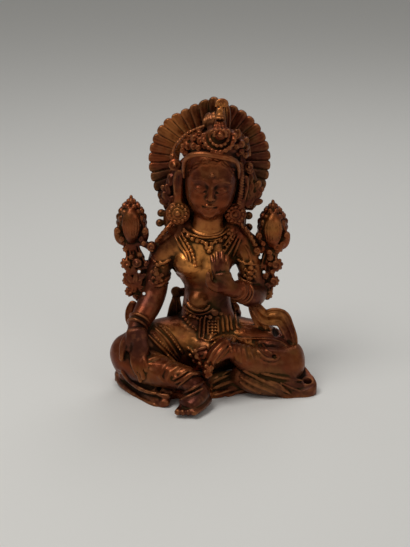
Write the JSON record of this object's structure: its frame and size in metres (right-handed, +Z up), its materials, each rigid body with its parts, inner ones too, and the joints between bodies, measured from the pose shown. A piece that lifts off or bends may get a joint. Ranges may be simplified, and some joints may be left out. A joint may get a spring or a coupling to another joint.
{
  "type": "seated tara figure",
  "caption": "Small cast copper figure of a seated crowned tara, one leg down, with a rayed halo and a lotus spray at each arm, on a flat pierced garment edge.",
  "frame": {"origin": "on the flat underside of the garment edge, below the middle of the seat", "axes": "+Z up, the figure faces -Y, its own left is at +X"},
  "size_m": [0.0858, 0.0605, 0.1217],
  "materials": {
    "copper": "worn red-brown copper patina with traces of gilding in the hollows"
  },
  "bodies": {
    "root": {"tara_figure": "copper"}
  },
  "joints": []
}
